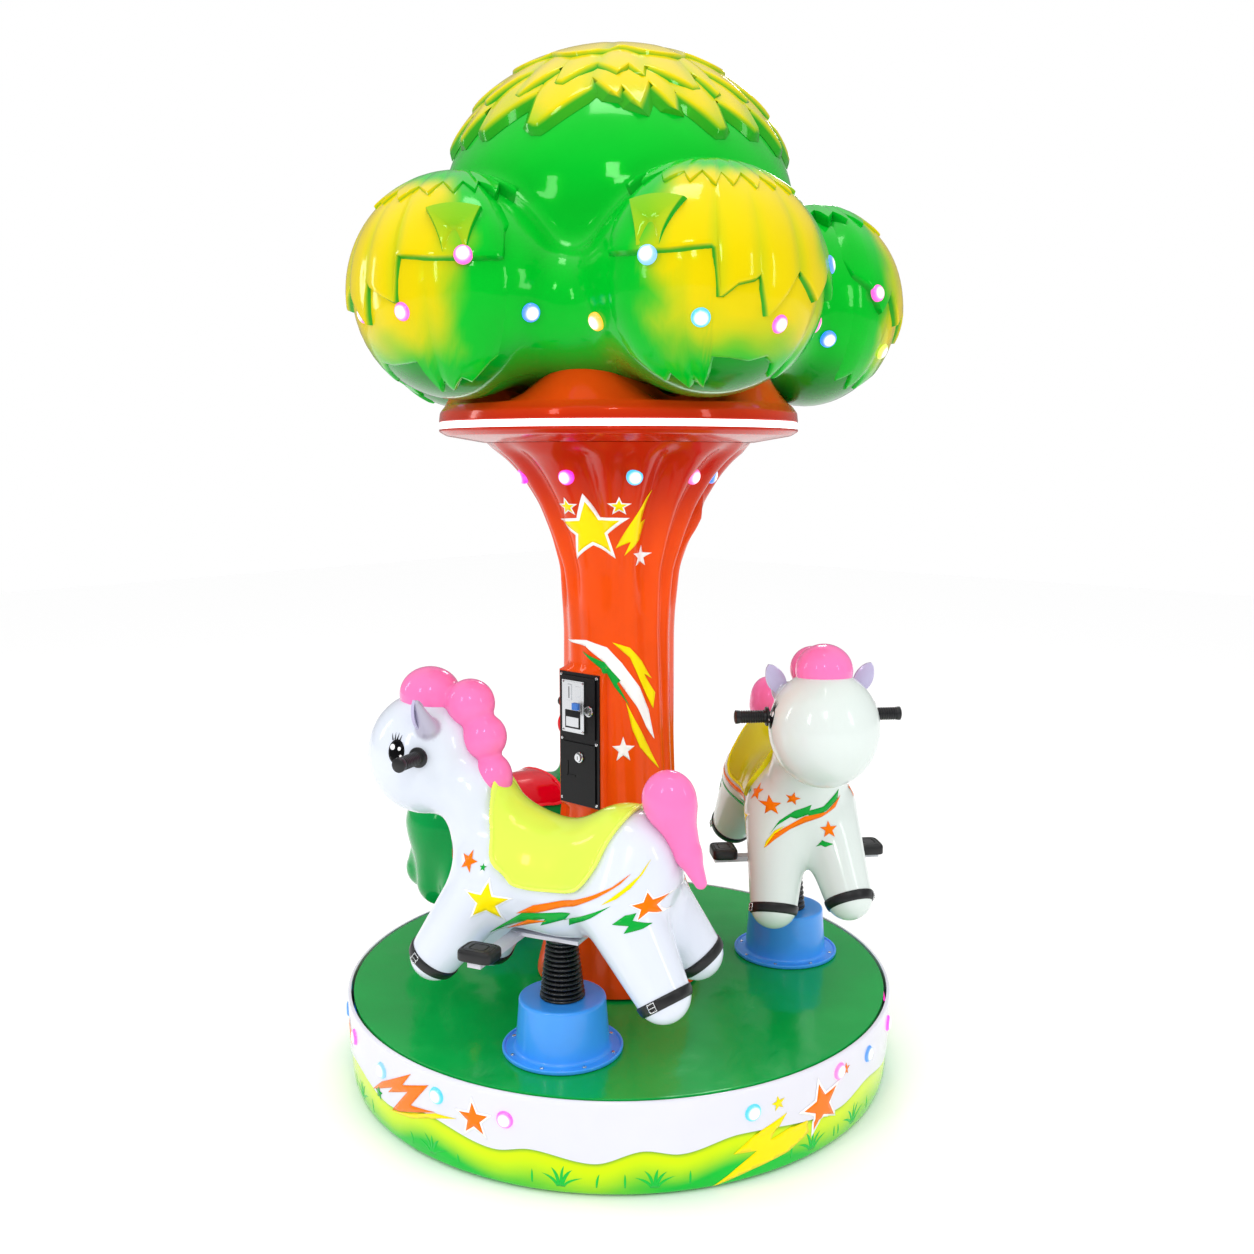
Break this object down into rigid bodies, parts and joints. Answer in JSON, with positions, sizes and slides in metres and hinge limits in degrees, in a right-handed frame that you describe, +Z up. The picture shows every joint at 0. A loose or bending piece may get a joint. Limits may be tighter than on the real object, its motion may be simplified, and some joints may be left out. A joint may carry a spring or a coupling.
{
  "type": "kiddie carousel",
  "caption": "Coin-operated kiddie carousel: tree-shaped column with a lobed crown, turning deck, two ponies and a small dinosaur on bellows lifts, coin doors.",
  "frame": {"origin": "on the floor under the centre column, at the middle of the machine base's underside", "axes": "+Z up, -Y out of the coin panel, +X to the panel's right as one faces it"},
  "size_m": [1.3326, 1.3362, 2.372],
  "materials": {
    "skirt_paint": "glossy gel coat",
    "base_steel": "painted",
    "bearing_steel": "machined",
    "trunk_paint": "glossy gel coat",
    "collar_paint": "glossy gel coat",
    "strip_light": "lit diffuser",
    "crown_paint": "glossy gel coat",
    "cap_paint": "glossy gel coat",
    "panel_black": "satin black",
    "chrome": "polished",
    "deck_paint": "glossy gel coat",
    "dino_green": "glossy gel coat",
    "dino_red": "glossy gel coat",
    "pony_front_white": "glossy gel coat",
    "pony_front_pink": "glossy gel coat",
    "pony_right_white": "glossy gel coat",
    "pony_right_pink": "glossy gel coat",
    "saddle_lime": "glossy gel coat",
    "saddle_yellow": "glossy gel coat",
    "grip_rubber": "satin",
    "frame_paint": "painted light grey",
    "pad_rubber": "matte",
    "cup_blue": "satin",
    "boot_rubber": "glossy"
  },
  "bodies": {
    "base": {"base_skirt": "skirt_paint", "machine_base": "base_steel", "slewing_ring": "bearing_steel", "trunk": "trunk_paint", "collar": "collar_paint", "collar_light_strip": "strip_light", "crown_canopy": "crown_paint", "crown_cap": "cap_paint", "coin_housing": "panel_black"},
    "turntable": {"deck": "deck_paint", "pony_front_cup": "cup_blue", "pony_front_boot": "boot_rubber", "pony_right_cup": "cup_blue", "pony_right_boot": "boot_rubber", "dino_cup": "cup_blue", "dino_boot": "boot_rubber"},
    "coin_door": {"coin_door": "panel_black", "coin_plate": "chrome", "coin_lock": "chrome"},
    "cash_door": {"cash_door": "panel_black", "cash_lock": "chrome"},
    "pony_front_seat": {"pony_front_body": "pony_front_white", "pony_front_mane": "pony_front_pink", "pony_front_tail": "pony_front_pink", "pony_front_saddle": "saddle_lime", "pony_front_handlebar": "grip_rubber", "pony_front_frame": "frame_paint", "pony_front_pedal_left": "pad_rubber", "pony_front_pedal_right": "pad_rubber"},
    "pony_right_seat": {"pony_right_body": "pony_right_white", "pony_right_mane": "pony_right_pink", "pony_right_tail": "pony_right_pink", "pony_right_saddle": "saddle_yellow", "pony_right_handlebar": "grip_rubber", "pony_right_frame": "frame_paint", "pony_right_pedal_left": "pad_rubber", "pony_right_pedal_right": "pad_rubber"},
    "dino_seat": {"dino_body": "dino_green", "dino_crest": "dino_red", "dino_saddle": "dino_red", "dino_handlebar": "grip_rubber", "dino_frame": "frame_paint", "dino_pedal_left": "pad_rubber", "dino_pedal_right": "pad_rubber"}
  },
  "joints": [
    {"name": "carousel_spin", "type": "hinge", "parent": "base", "child": "turntable", "pos_m": [0, 0, 0.209], "axis": [0, 0, 1], "continuous": true},
    {"name": "coin_door_hinge", "type": "hinge", "parent": "base", "child": "coin_door", "pos_m": [-0.05, -0.1448, 0.889], "axis": [0, 0, -1], "range_deg": [0, 105]},
    {"name": "cash_door_hinge", "type": "hinge", "parent": "base", "child": "cash_door", "pos_m": [-0.05, -0.1448, 0.7325], "axis": [0, 0, -1], "range_deg": [0, 105]},
    {"name": "pony_front_lift", "type": "slide", "parent": "turntable", "child": "pony_front_seat", "axis": [0, 0, 1], "range_m": [-0.06, 0], "deforming": ["pony_front_boot"]},
    {"name": "pony_right_lift", "type": "slide", "parent": "turntable", "child": "pony_right_seat", "axis": [0, 0, 1], "range_m": [-0.06, 0], "deforming": ["pony_right_boot"]},
    {"name": "dino_lift", "type": "slide", "parent": "turntable", "child": "dino_seat", "axis": [0, 0, 1], "range_m": [-0.06, 0], "deforming": ["dino_boot"]}
  ]
}
